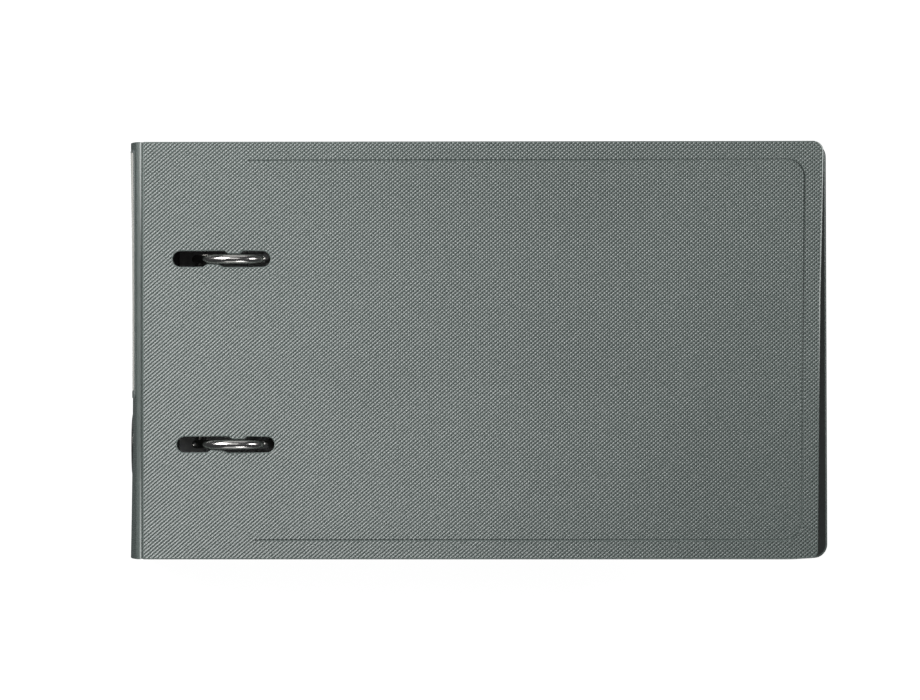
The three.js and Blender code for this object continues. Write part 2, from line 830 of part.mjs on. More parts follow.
function compressorBar() {
  const end = ringY + barEndReach;
  const [x0, x1] = [barX - barWidth / 2, barX + barWidth / 2];
  let bar = slab(outline(rectangle(x0, -end, x1, end, barCorner)), barBottom, barTop + barFlange);
  bar = bar.subtract(block(
    x0 + barThickness, -end - 1, barTop,
    x1 - barThickness, end + 1, barTop + barFlange + 1,
  ));
  for (const y of [-ringY, ringY]) {
    const hole = rod(wireRadius + barHoleClearance, 0, spineWidth);
    bar = bar.subtract(turnedUp(hole, postSetback, y));
  }
  for (const y of [-guideInset, guideInset]) {
    const hole = rod(guideRadius + postTenonClearance, 0, spineWidth);
    bar = bar.subtract(turnedUp(hole, postSetback, y));
  }
  return mesh('compressor_bar', bar, zinc);
}

// A slot that lets the lock slide towards the head past a fixed round pin.
function lockSlot(y, half) {
  const corners = rectangle(
    postSetback - half, y - half - lockTravel,
    postSetback + half, y + half,
    half * nearlyRound,
  );
  return slab(outline(corners), 0, spineWidth);
}

function compressorLock() {
  const end = ringY + lockEndReach;
  const [x0, x1] = [barX - lockWidth / 2, barX + lockWidth / 2];
  let lock = slab(outline(rectangle(x0, -end, x1, end, lockCorner)), lockBottom, lockTop);
  lock = lock.add(block(
    barX - lockTabWidth / 2, end - lockThickness, lockBottom,
    barX + lockTabWidth / 2, end, lockTop + lockTab,
  ));
  for (const y of [-ringY, ringY]) lock = lock.subtract(lockSlot(y, wireRadius + leverGap));
  for (const y of [-guideInset, guideInset]) lock = lock.subtract(lockSlot(y, guideRadius + leverGap));
  return mesh('compressor_lock', lock, zinc);
}

function guidePin(name, y) {
  const profile = rivet(
    guideRadius, guideHeadRadius, guideHead, barBottom - headGap,
    guideHeadRadius, lockTop + headGap, guideHead,
  );
  return mesh(name, turnedUp(profile, postSetback, y), nickel);
}

// ---------------------------------------------------------------- assembly

const covers = new THREE.Group();
covers.add(
  frontCover(),
  hingeWeb('front_hinge', frontMid),
  spinePanel(),
  hingeWeb('back_hinge', backMid),
  backCover(),
  labelPocket(),
  labelCard(),
  fingerRingOuter(),
  fingerRingInner(),
);

const mechanism = new THREE.Group();
mechanism.add(
  basePlate(),
  ringArches(),
  post('upper_post', ringY),
  post('lower_post', -ringY),
  lever(),
  crossPin(
    'lever_pin', leverPinRadius, leverPinHeadRadius, leverPinHead,
    lugX[0], lugX[1] + sheet, pivotY,
  ),
  crossPin(
    'roller_pin', rollerPinRadius, rollerPinHeadRadius, rollerPinHead,
    leverLeft, leverRight, -rollerSetback,
  ),
  roller(),
  leafSpring(),
  leafSpringRivet(),
  compressorBar(),
  compressorLock(),
  guidePin('upper_guide_pin', guideInset),
  guidePin('lower_guide_pin', -guideInset),
);
rivetPlaces.forEach(([x, y], i) => mechanism.add(coverRivet(x, y, i + 1)));

// The origin is on the table, under the middle of the closed file.
const model = new THREE.Group();
model.add(covers, mechanism);
const size = new THREE.Box3().setFromObject(model);
const centre = size.getCenter(new THREE.Vector3());
model.position.set(-centre.x, -centre.y, -size.min.z);

const file = new THREE.Group();
file.add(model);
export default file;
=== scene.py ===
"""A landscape lever arch file in grey-green embossed plastic, with its nickel ring mechanism."""
import json
import math

import bmesh
import bpy
from mathutils import Matrix, Vector


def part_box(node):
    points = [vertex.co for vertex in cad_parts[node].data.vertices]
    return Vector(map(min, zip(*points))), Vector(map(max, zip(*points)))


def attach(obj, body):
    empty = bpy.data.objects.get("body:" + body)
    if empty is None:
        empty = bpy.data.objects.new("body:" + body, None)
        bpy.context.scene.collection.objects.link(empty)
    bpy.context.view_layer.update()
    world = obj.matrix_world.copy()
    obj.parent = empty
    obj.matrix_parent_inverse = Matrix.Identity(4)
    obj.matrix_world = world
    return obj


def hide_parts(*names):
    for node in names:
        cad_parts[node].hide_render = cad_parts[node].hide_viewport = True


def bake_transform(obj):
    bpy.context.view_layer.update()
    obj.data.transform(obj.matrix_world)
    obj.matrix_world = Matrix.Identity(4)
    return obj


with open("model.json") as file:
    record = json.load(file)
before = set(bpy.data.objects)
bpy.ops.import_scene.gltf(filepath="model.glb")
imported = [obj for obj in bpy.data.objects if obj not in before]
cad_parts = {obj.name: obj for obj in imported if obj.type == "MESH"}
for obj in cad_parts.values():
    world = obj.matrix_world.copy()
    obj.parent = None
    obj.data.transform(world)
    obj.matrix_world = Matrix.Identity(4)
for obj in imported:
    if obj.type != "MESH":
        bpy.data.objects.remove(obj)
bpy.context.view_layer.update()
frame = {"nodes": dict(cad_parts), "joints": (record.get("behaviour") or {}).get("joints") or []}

MM = 0.001

# ------------------------------------------------------------------ places, from the frame


def joint(name):
    return next(j for j in frame["joints"] if j["name"] == name)


def middle(node):
    low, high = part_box(node)
    return (low + high) / 2


FRONT_LOW, FRONT_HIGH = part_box("front_cover")
BACK_LOW, BACK_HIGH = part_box("back_cover")
SPINE_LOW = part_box("spine_panel")[0]
BOARD = BACK_HIGH.z - BACK_LOW.z
HEAD = BACK_HIGH.y
FOOT = BACK_LOW.y
FRONT_FOLD = Vector(joint("front_cover_hinge")["pos_m"])
BACK_FOLD = Vector(joint("spine_hinge")["pos_m"])
FOLD_X = FRONT_FOLD.x
PANEL_START = FRONT_LOW.x - FOLD_X
SPINE_MIDDLE = (FRONT_FOLD.z + BACK_FOLD.z) / 2
FOLD_SPAN = FRONT_FOLD.z - BACK_FOLD.z
SPINE_BOW = FOLD_X - SPINE_LOW.x - BOARD / 2
SPINE_RADIUS = ((FOLD_SPAN / 2) ** 2 + SPINE_BOW**2) / (2 * SPINE_BOW)

SHAFT = Vector(joint("arch_hinge")["pos_m"])
ROLLER_AXIS = Vector(joint("roller_spin")["pos_m"])
RING_MIDDLE = SHAFT.y
RING_Y = middle("upper_post").y - RING_MIDDLE
WIRE_RADIUS = 2 * MM
POST_SHOULDER = 3.5 * MM
POST_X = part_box("upper_post")[1].x - POST_SHOULDER
LEG_X = SHAFT.x
PLATE_THICKNESS = 1 * MM
PLATE_TOP = BACK_HIGH.z + PLATE_THICKNESS

# sizes of the board that the frame doesn't give
FRONT_FREE = FOLD_X + 294.9 * MM
BACK_FREE_FOOT = FOLD_X + 299.1 * MM
BACK_FREE_HEAD = FOLD_X + 298.4 * MM
SHARP_CORNER = 0.6 * MM
BOARD_RIM = 0.35 * MM


# ------------------------------------------------------------------ camera and light


def set_camera():
    """Straight down from far above the cover, as flat as a catalogue view."""
    height = 4070 * MM
    aim_x = FOLD_X + 138.1 * MM
    aim_y = 0.26 * MM
    focal_length = 369.5
    data = bpy.data.cameras.new("camera")
    data.sensor_width = 36
    data.lens = focal_length
    data.clip_start = 0.1
    data.clip_end = 20
    camera = bpy.data.objects.new("camera", data)
    camera.location = (aim_x, aim_y, FRONT_HIGH.z + height)
    bpy.context.scene.collection.objects.link(camera)
    bpy.context.scene.camera = camera


def softbox(name, zenith, azimuth, distance, size, power, seen_in_metal=True):
    """A square area light that faces the middle of the file, placed by two angles in degrees."""
    zenith, azimuth = math.radians(zenith), math.radians(azimuth)
    heading = Vector((
        math.sin(zenith) * math.cos(azimuth),
        math.sin(zenith) * math.sin(azimuth),
        math.cos(zenith),
    ))
    data = bpy.data.lights.new(name, "AREA")
    data.shape = "SQUARE"
    data.size = size
    data.energy = power
    light = bpy.data.objects.new(name, data)
    light.visible_glossy = seen_in_metal
    light.location = heading * distance
    light.rotation_euler = heading.to_track_quat("Z", "Y").to_euler()
    bpy.context.scene.collection.objects.link(light)


def set_studio():
    """A key light at the fold side, fill from the other sides, and low walls for the rims."""
    softbox("key_softbox", 40, 150, 0.85, 0.45, 5.3)
    softbox("right_softbox", 50, 12, 1.15, 0.34, 3.6)
    softbox("foot_softbox", 62, -80, 1.1, 0.3, 1.5)
    softbox("spine_wall", 80, 180, 1.5, 0.8, 5.0, seen_in_metal=False)
    softbox("overhead_softbox", 16, 90, 1.7, 0.7, 2.0)
    softbox("head_wall", 78, 90, 1.5, 1.1, 3.0)
    softbox("foot_wall", 78, -90, 1.5, 1.1, 3.0)
    world = bpy.data.worlds.new("studio")
    world.use_nodes = True
    background = world.node_tree.nodes["Background"]
    background.inputs["Color"].default_value = (0.9, 0.95, 1, 1)
    background.inputs["Strength"].default_value = 0.06
    bpy.context.scene.world = world
    bpy.context.scene.view_settings.view_transform = "Standard"


# ------------------------------------------------------------------ shader arithmetic


class Value:
    """A shader socket that can be used in Python arithmetic, which adds its Math nodes."""

    def __init__(self, surface, socket):
        self.surface = surface
        self.socket = socket

    def math(self, operation, *others):
        values = {0: self} | {i + 1: other for i, other in enumerate(others)}
        return self.surface.node("Math", {"operation": operation}, values)

    def __add__(self, other):
        return self.math("ADD", other)

    def __radd__(self, other):
        return self.math("ADD", other)

    def __mul__(self, other):
        return self.math("MULTIPLY", other)

    def __rmul__(self, other):
        return self.math("MULTIPLY", other)

    def __sub__(self, other):
        return self.math("SUBTRACT", other)

    def __rsub__(self, other):
        return self.surface.node("Math", {"operation": "SUBTRACT"}, {0: other, 1: self})

    def __truediv__(self, other):
        return self.math("DIVIDE", other)

    def cosine(self):
        return self.math("COSINE")

    def absolute(self):
        return self.math("ABSOLUTE")

    def folded(self):
        """A zigzag between -1 and 1 in place of a cosine."""
        return self.cosine().math("ARCCOSINE") * (-2 / math.pi) + 1

    def within(self, low, high):
        """0 below low, 1 above high, and a smooth step between."""
        settings = {"interpolation_type": "SMOOTHSTEP"}
        return self.surface.node("MapRange", settings, {"Value": self, 1: low, 2: high})


class Surface:
    """A material while its nodes are being made."""

    def __init__(self, name):
        self.material = bpy.data.materials.new(name)
        self.material.use_nodes = True
        self.tree = self.material.node_tree
        self.tree.nodes.clear()
        self.coordinates = self.tree.nodes.new("ShaderNodeTexCoord")

    def node(self, kind, settings=None, sockets=None, output=0):
        node = self.tree.nodes.new("ShaderNode" + kind)
        for key, value in (settings or {}).items():
            if key == "stops":
                self.set_stops(node.color_ramp, value)
            else:
                setattr(node, key, value)
        for key, value in (sockets or {}).items():
            if isinstance(value, Value):
                self.tree.links.new(value.socket, node.inputs[key])
            else:
                node.inputs[key].default_value = value
        return Value(self, node.outputs[output])

    @staticmethod
    def set_stops(ramp, stops):
        while len(ramp.elements) < len(stops):
            ramp.elements.new(1)
        for element, (place, colour) in zip(ramp.elements, stops):
            element.position = place
            element.color = colour

    def place(self):
        return Value(self, self.coordinates.outputs["Object"])

    def axes(self):
        return [self.node("SeparateXYZ", None, {0: self.place()}, i) for i in range(3)]

    def noise(self, scale, detail=3, stretch=(1, 1, 1)):
        """Noise of a given number of waves in a metre, stretched along an axis by a small share."""
        place = self.node("Mapping", None, {"Vector": self.place(), "Scale": stretch})
        return self.node("TexNoise", None, {"Vector": place, "Scale": scale, "Detail": detail})

    def mix(self, share, first, second):
        settings = {"data_type": "RGBA"}
        return self.node("Mix", settings, {0: share, 6: first, 7: second}, 2)

    def bump(self, height, distance, strength=1.0):
        sockets = {"Height": height, "Distance": distance, "Strength": strength}
        return self.node("Bump", None, sockets)

    def finish(self, **sockets):
        named = {key.replace("_", " ").title(): value for key, value in sockets.items()}
        named = {key.replace("Ior", "IOR"): value for key, value in named.items()}
        shader = self.node("BsdfPrincipled", None, named)
        target = self.tree.nodes.new("ShaderNodeOutputMaterial")
        self.tree.links.new(shader.socket, target.inputs["Surface"])
        return self.material


def grey(level):
    return (level, level, level, 1)


# ------------------------------------------------------------------ materials

BOARD_COLOUR = (0.150, 0.178, 0.168, 1)
BOARD_DARK = (0.132, 0.158, 0.149, 1)
RIDGE_COLOUR = (0.190, 0.228, 0.214, 1)
RIDGE_DARK = (0.168, 0.202, 0.190, 1)
# Near black for the grain's valleys: painted shade, not a colour of the plastic.
VALLEY_PAINTED_SHADE = (0.022, 0.028, 0.026, 1)
# The fold web's colour is a darker copy of the board colour: painted shade on the fold band.
FOLD_PAINTED_SHADE = (0.112, 0.134, 0.126, 1)
FOLD_PAINTED_SHADE_DARK = (0.100, 0.120, 0.113, 1)
# Pale colour for the painted highlight lines on the fold bead and on the free edge's rim.
PAINTED_HIGHLIGHT_COLOUR = (0.62, 0.66, 0.64, 1)
# Near black for the inner side: painted shade inside the file and in the gap under the front cover.
INSIDE_PAINTED_SHADE = (0.036, 0.040, 0.038, 1)
INSIDE_PAINTED_SHADE_DARK = (0.026, 0.029, 0.028, 1)


def embossed_board(name, across):
    """Outside of the plastic board: crossed rows of fine ribs, pressed in by the calender roll.

    The main rows rise from the foot to the free edge. The rows that cross them are shallower, and
    get a little deeper away from the fold. Their valleys are painted near black, as painted shade.
    """
    ribs_per_mm_across, ribs_per_mm_along = 0.521, 0.603
    rib_height = 0.31 * MM
    main_depth, crossing_depth, crossing_growth = 0.33, 0.105, 0.0002
    surface = Surface(name)
    axes = surface.axes()
    mm_across = axes[across] / MM
    turn_across = mm_across * (2 * math.pi * ribs_per_mm_across)
    turn_along = axes[1] / MM * (2 * math.pi * ribs_per_mm_along)
    wander = (surface.noise(60, 2) - 0.5) * 1.2
    rising = (turn_across - turn_along + wander).folded()
    falling = (turn_across + turn_along + wander).cosine()
    grain = rising * main_depth + falling * (mm_across * crossing_growth + crossing_depth) + 0.5
    speckle = surface.noise(1400, 2)
    height = grain + speckle * 0.1
    cloud = surface.noise(9, 3)
    skin = surface.mix(cloud.within(0.35, 0.65), RIDGE_COLOUR, RIDGE_DARK)
    # Painted shade: the colour runs from near black in the valleys to the ridge skin, following the
    # grain.
    colour = surface.mix(grain.within(0.06, 0.86), VALLEY_PAINTED_SHADE, skin)
    return surface.finish(
        base_color=colour,
        roughness=0.20 + (1 - grain) * 0.08,
        normal=surface.bump(height, rib_height),
    )


def smooth_board(name, colour, dark, roughness):
    """Plain plastic board with a fine skin: its cut edges, or its inner side, painted dark as
    shade.
    """
    surface = Surface(name)
    fine = surface.noise(2600, 2)
    cloud = surface.noise(14, 3)
    return surface.finish(
        base_color=surface.mix(cloud.within(0.3, 0.7), colour, dark),
        roughness=roughness + fine * 0.1,
        normal=surface.bump(fine, 0.02 * MM),
    )


def fold_shade_and_highlight_board(name):
    """The thinned fold: painted shade, a darker copy of the board colour, with a painted highlight
    line along its bead, most towards its two ends.
    """
    surface = Surface(name)
    fine = surface.noise(2600, 2)
    x, y, _ = surface.axes()
    out = x - FOLD_X
    highlight_line = out.within(0, 0.2 * MM) * (1 - out.within(0.7 * MM, 0.9 * MM))
    ends = (y / HEAD).absolute().within(0.4, 0.95)
    plain = surface.mix(fine.within(0.3, 0.7), FOLD_PAINTED_SHADE, FOLD_PAINTED_SHADE_DARK)
    return surface.finish(
        # Painted highlight: a pale line along the bead, mixed over the painted shade.
        base_color=surface.mix(highlight_line * ends * (0.5 + fine * 0.4), plain, PAINTED_HIGHLIGHT_COLOUR),
        roughness=0.24 + fine * 0.1,
        normal=surface.bump(fine, 0.02 * MM),
    )


def edge_highlight_board(name):
    """The free edge of the front cover: a painted highlight along its rim, most near the head."""
    surface = Surface(name)
    fine = surface.noise(2600, 2)
    along = surface.axes()[1]
    # Share of the painted highlight, strongest towards the head.
    highlight_share = along.within(-30 * MM, 30 * MM) * (0.6 + fine * 0.4)
    return surface.finish(
        base_color=surface.mix(highlight_share, BOARD_DARK, PAINTED_HIGHLIGHT_COLOUR),
        roughness=0.26 + fine * 0.15,
        normal=surface.bump(fine, 0.02 * MM),
    )


def nickel_plate(name):
    """Bright nickel on drawn wire, hazed where it has been handled."""
    surface = Surface(name)
    haze = surface.noise(160, 4)
    drawn = surface.noise(2200, 3, (1, 0.12, 0.12))
    bright, dull = (0.58, 0.57, 0.545, 1), (0.49, 0.48, 0.46, 1)
    colour = surface.mix(haze.within(0.35, 0.7), bright, dull)
    return surface.finish(
        base_color=colour,
        metallic=1.0,
        roughness=0.13 + haze.within(0.4, 0.8) * 0.12 + drawn * 0.05,
        normal=surface.bump(drawn, 0.004 * MM),
    )


def zinc_plate(name):
    """Dull zinc on rolled sheet, with a faint spangle."""
    surface = Surface(name)
    spangle = surface.noise(420, 3)
    rolled = surface.noise(1500, 3, (1, 0.05, 1))
    pale, dark = (0.34, 0.345, 0.34, 1), (0.27, 0.275, 0.28, 1)
    colour = surface.mix(spangle.within(0.3, 0.7), pale, dark)
    return surface.finish(
        base_color=colour,
        metallic=1.0,
        roughness=0.38 + spangle * 0.12 + rolled * 0.08,
        normal=surface.bump(rolled, 0.008 * MM),
    )


def blued_spring(name):
    """Spring steel with uneven temper colours."""
    surface = Surface(name)
    temper = surface.noise(220, 3, (1, 0.2, 1))
    blue, straw = (0.17, 0.18, 0.21, 1), (0.26, 0.25, 0.24, 1)
    colour = surface.mix(temper.within(0.3, 0.7), blue, straw)
    return surface.finish(
        base_color=colour,
        metallic=1.0,
        roughness=0.28 + temper * 0.12,
        normal=surface.bump(temper, 0.01 * MM),
    )


def moulded_nylon(name):
    """Black nylon with a fine moulded skin."""
    surface = Surface(name)
    fine = surface.noise(1800, 2)
    black, scuffed = (0.012, 0.013, 0.014, 1), (0.03, 0.03, 0.032, 1)
    colour = surface.mix(fine.within(0.3, 0.8), black, scuffed)
    return surface.finish(
        base_color=colour,
        roughness=0.38 + fine * 0.2,
        normal=surface.bump(fine, 0.02 * MM),
    )


def clear_film(name):
    """Thin clear film that lies a little wavy."""
    surface = Surface(name)
    ripple = surface.noise(70, 2)
    return surface.finish(
        base_color=surface.mix(ripple, (0.85, 0.88, 0.88, 1), (0.92, 0.94, 0.94, 1)),
        roughness=0.08 + ripple * 0.1,
        alpha=0.16 + ripple * 0.06,
        normal=surface.bump(ripple, 0.15 * MM),
    )


def welded_film(name):
    """The weld: the film is pressed into the board with a fine chequer."""
    surface = Surface(name)
    axes = surface.axes()
    pitch = 2 * math.pi / (0.9 * MM)
    chequer = (axes[1] * pitch).cosine() * (axes[2] * pitch).cosine()
    colour = surface.mix(chequer * 0.5 + 0.5, (0.22, 0.25, 0.24, 1), (0.32, 0.36, 0.35, 1))
    return surface.finish(
        base_color=colour,
        roughness=0.22 + chequer * 0.05,
        alpha=0.72 + chequer * 0.1,
        normal=surface.bump(chequer, 0.08 * MM),
    )


def label_paper(name):
    """Plain card with a thin frame and ruled lines."""
    surface = Surface(name)
    fibre = surface.noise(900, 4)
    along = surface.axes()[1]
    low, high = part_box("label_card")
    rule_pitch = 9 * MM
    ruled = (along * (math.pi / rule_pitch)).cosine().absolute()
    line = 1 - ruled.within(0.0, 0.055)
    first_rule, last_rule, sharp = low.y + 12 * MM, high.y - 34 * MM, 0.2 * MM
    inside = along.within(first_rule, first_rule + sharp)
    below = 1 - along.within(last_rule, last_rule + sharp)
    paper = surface.mix(fibre, (0.80, 0.78, 0.73, 1), (0.86, 0.845, 0.80, 1))
    colour = surface.mix(line * inside * below * 0.7, paper, (0.30, 0.32, 0.34, 1))
    return surface.finish(
        base_color=colour,
        roughness=0.85,
        normal=surface.bump(fibre, 0.03 * MM),
    )


def studio_floor(name):
    """A white sweep that is bright by itself, so that it stays even right out to its edges."""
    surface = Surface(name)
    return surface.finish(
        base_color=grey(0.12),
        roughness=0.9,
        emission_color=grey(1.0),
        emission_strength=0.97,
    )


EMBOSSED_COVER = embossed_board("embossed_board", 0)
EMBOSSED_SPINE = embossed_board("embossed_spine", 2)
SMOOTH_BOARD = smooth_board("smooth_board", BOARD_COLOUR, BOARD_DARK, 0.26)
FOLD_SHADE_AND_HIGHLIGHT = fold_shade_and_highlight_board("fold_painted_shade_and_highlight")
EDGE_HIGHLIGHT_BOARD = edge_highlight_board("free_edge_painted_highlight")
INSIDE_SHADE_BOARD = smooth_board("inside_painted_shade", INSIDE_PAINTED_SHADE, INSIDE_PAINTED_SHADE_DARK, 0.42)
NICKEL = nickel_plate("nickel_plate")
ZINC = zinc_plate("zinc_plate")
SPRING = blued_spring("blued_spring")
NYLON = moulded_nylon("moulded_nylon")
FILM = clear_film("clear_film")
WELD = welded_film("welded_film")
PAPER = label_paper("label_paper")
FLOOR = studio_floor("studio_floor")


# ------------------------------------------------------------------ mesh tools


def piece(name, bm, materials, body, replaced=(), sharp=32):
    """Makes a finished mesh an object that rides on its body when the body is a name; any other
    body leaves it where it lies.
    """
    mesh = bpy.data.meshes.new(name)
    bm.to_mesh(mesh)
    bm.free()
    mesh.shade_smooth()
    mesh.set_sharp_from_angle(angle=math.radians(sharp))
    for material in materials:
        mesh.materials.append(material)
    obj = bpy.data.objects.new(name, mesh)
    bpy.context.scene.collection.objects.link(obj)
    if isinstance(body, str):
        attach(obj, body)
    else:
        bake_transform(obj)
    if replaced:
        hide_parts(*replaced)
    shading = obj.modifiers.new("flat_faces_stay_flat", "WEIGHTED_NORMAL")
    shading.weight = 100
    shading.keep_sharp = True
    return obj


def soften(bm, width, segments=2, angle=30):
    """Rounds the edges that are sharper than an angle."""
    edges = [
        edge
        for edge in bm.edges
        if len(edge.link_faces) == 2 and edge.calc_face_angle(0) > math.radians(angle)
    ]
    bmesh.ops.bevel(
        bm,
        geom=edges,
        offset=width,
        offset_type="OFFSET",
        affect="EDGES",
        segments=segments,
        profile=0.5,
        material=-1,
        clamp_overlap=True,
    )


def tidy(bm):
    """Joins points that lie together, and turns all faces outwards."""
    bmesh.ops.remove_doubles(bm, verts=bm.verts, dist=0.002 * MM)
    bmesh.ops.recalc_face_normals(bm, faces=bm.faces)


def arc(centre, radius, start, end, steps):
    """Points on an arc, in degrees, both ends included."""
    points = []
    for i in range(steps + 1):
        angle = math.radians(start + (end - start) * i / steps)
        points.append((centre[0] + radius * math.cos(angle), centre[1] + radius * math.sin(angle)))
    return points


def rounded(corners, steps=8):
    """The outline through [x, y, radius] corners, each rounded by its radius."""
    points = []
    for i, (x, y, radius) in enumerate(corners):
        corner = Vector((x, y))
        before = (Vector(corners[i - 1][:2]) - corner).normalized()
        after = (Vector(corners[(i + 1) % len(corners)][:2]) - corner).normalized()
        if radius == 0:
            points.append((x, y))
            continue
        half = before.angle(after) / 2
        centre = corner + (before + after).normalized() * (radius / math.sin(half))
        first = corner + before * (radius / math.tan(half)) - centre
        last = corner + after * (radius / math.tan(half)) - centre
        turn = first.angle_signed(last)
        for step in range(steps + 1):
            spoke = first.copy()
            spoke.rotate(Matrix.Rotation(-turn * step / steps, 2))
            points.append(tuple(centre + spoke))
    return points


def cut_board(contours, bottom, top, rim):
    """A flat board with rounded rims, from its outline and the outlines of its holes."""
    data = bpy.data.curves.new("cut", "CURVE")
    data.dimensions = "2D"
    data.fill_mode = "BOTH"
    data.extrude = (top - bottom) / 2 - rim
    data.bevel_depth = rim
    data.bevel_resolution = 3
    data.offset = -rim
    for contour in contours:
        spline = data.splines.new("POLY")
        spline.points.add(len(contour) - 1)
        spline.use_cyclic_u = True
        for point, (x, y) in zip(spline.points, contour):
            point.co = (x, y, 0, 1)
    bm = meshed(data)
    bmesh.ops.translate(bm, verts=bm.verts, vec=(0, 0, (bottom + top) / 2))
    tidy(bm)
    bmesh.ops.dissolve_limit(
        bm,
        angle_limit=math.radians(0.5),
        verts=bm.verts,
        edges=bm.edges,
        use_dissolve_boundaries=False,
    )
    return bm


def turned(profile, place, axis="Z", steps=48):
    """A turned piece: a closed profile of (radius, along) spun round an axis through a place."""
    bm = bmesh.new()
    verts = [bm.verts.new((radius, 0, along)) for radius, along in profile]
    for i, vert in enumerate(verts):
        bm.edges.new((vert, verts[(i + 1) % len(verts)]))
    bmesh.ops.spin(
        bm,
        geom=bm.verts[:] + bm.edges[:],
        cent=(0, 0, 0),
        axis=(0, 0, 1),
        angle=2 * math.pi,
        steps=steps,
        use_merge=True,
    )
    tidy(bm)
    loose = [edge for edge in bm.edges if not edge.link_faces]
    bmesh.ops.delete(bm, geom=loose, context="EDGES")
    turn = {"X": Matrix.Rotation(math.pi / 2, 4, "Y"), "Z": Matrix.Identity(4)}[axis]
    bmesh.ops.transform(bm, matrix=Matrix.Translation(place) @ turn, verts=bm.verts)
    return bm


def added(bm, other):
    """Joins another mesh into this one."""
    mesh = bpy.data.meshes.new("part")
    other.to_mesh(mesh)
    other.free()
    bm.from_mesh(mesh)
    bpy.data.meshes.remove(mesh)
    return bm


def everything(bm):
    return bm.verts[:] + bm.edges[:] + bm.faces[:]


def meshed(curve_data):
    """The mesh that a curve with a bevel makes. The curve is used up."""
    curve = bpy.data.objects.new("curve", curve_data)
    mesh = bpy.data.meshes.new_from_object(curve)
    bm = bmesh.new()
    bm.from_mesh(mesh)
    bpy.data.objects.remove(curve)
    bpy.data.meshes.remove(mesh)
    return bm


def carved(bm, cutter):
    """This mesh with the cutter's shape taken out of it."""
    objects = []
    for name, shape in (("body", bm), ("cutter", cutter)):
        mesh = bpy.data.meshes.new(name)
        shape.to_mesh(mesh)
        shape.free()
        obj = bpy.data.objects.new(name, mesh)
        bpy.context.scene.collection.objects.link(obj)
        objects.append(obj)
    body, tool = objects
    modifier = body.modifiers.new("carve", "BOOLEAN")
    modifier.object = tool
    modifier.solver = "EXACT"
    evaluated = body.evaluated_get(bpy.context.evaluated_depsgraph_get())
    mesh = bpy.data.meshes.new_from_object(evaluated)
    result = bmesh.new()
    result.from_mesh(mesh)
    bpy.data.meshes.remove(mesh)
    for obj in objects:
        data = obj.data
        bpy.data.objects.remove(obj)
        bpy.data.meshes.remove(data)
    return result


def dressed(node, width, segments=2, angle=30):
    """A copy of a pressed or sawn CAD part with its edges rounded."""
    bm = bmesh.new()
    bm.from_mesh(frame["nodes"][node].data)
    tidy(bm)
    bmesh.ops.dissolve_limit(bm, angle_limit=math.radians(1), verts=bm.verts, edges=bm.edges)
    soften(bm, width, segments, angle)
    return bm


class WireBender:
    """Round wire, fed straight and bent round a former, with every step an extrusion."""

    def __init__(self, start, heading, radius, sides=32):
        self.bm = bmesh.new()
        self.place = Vector(start)
        self.heading = Vector(heading)
        turn = self.heading.to_track_quat("Z", "Y").to_matrix().to_4x4()
        bmesh.ops.create_circle(
            self.bm,
            cap_ends=True,
            radius=radius,
            segments=sides,
            matrix=Matrix.Translation(self.place) @ turn,
        )
        self.bm.faces.ensure_lookup_table()
        self.tip = self.bm.faces[0]

    def feed(self, length, taper=1.0):
        made = bmesh.ops.extrude_face_region(self.bm, geom=[self.tip])["geom"]
        self.tip = next(item for item in made if isinstance(item, bmesh.types.BMFace))
        self.place = self.place + self.heading * length
        bmesh.ops.translate(self.bm, verts=self.tip.verts[:], vec=self.heading * length)
        if taper != 1.0:
            space = Matrix.Translation(-self.place)
            bmesh.ops.scale(self.bm, verts=self.tip.verts[:], vec=(taper,) * 3, space=space)
        return self

    def bend(self, side, radius, degrees, step=6):
        side = Vector(side)
        centre = self.place + side * radius
        axis = self.heading.cross(side)
        made = bmesh.ops.spin(
            self.bm,
            geom=[self.tip],
            cent=centre,
            axis=axis,
            angle=math.radians(degrees),
            steps=math.ceil(degrees / step),
        )["geom_last"]
        self.tip = next(item for item in made if isinstance(item, bmesh.types.BMFace))
        turn = Matrix.Rotation(math.radians(degrees), 4, axis)
        self.place = centre + turn @ (self.place - centre)
        self.heading = turn @ self.heading
        return self


# ------------------------------------------------------------------ covers and spine


def grained(bm, up, flatness=0.99):
    """Embosses the outer faces (slot 0), gives the inner ones the painted shade (slot 2), leaves
    the rims plain.
    """
    for face in bm.faces:
        facing = face.normal.dot(up)
        face.material_index = 0 if facing > flatness else 2 if facing < -flatness else 1


def slot_contour(start, y):
    """A ring slot with rounded ends and a staggered tab on each long edge."""
    length = 42 * MM
    half = 3.35 * MM
    tip, half_tip = 2.2 * MM, 2.6 * MM
    tip_radius, root_radius = 0.8 * MM, 0.5 * MM
    end = start + length
    end_radius = half * 0.98
    tabs = {-1: (17.3 * MM, 4.4 * MM), 1: (26.4 * MM, 4.1 * MM)}
    corners = [[start, y - half, end_radius]]
    for side in (-1, 1):
        along, base = tabs[side]
        turns = [
            (-base, half, root_radius), (-half_tip, tip, tip_radius),
            (half_tip, tip, tip_radius), (base, half, root_radius),
        ]
        run = [[start + along + shift, y + side * out, radius] for shift, out, radius in turns]
        corners += run if side < 0 else run[::-1]
        if side < 0:
            corners += [[end, y - half, end_radius], [end, y + half, end_radius]]
    corners.append([start, y + half, end_radius])
    return rounded(corners, 6)


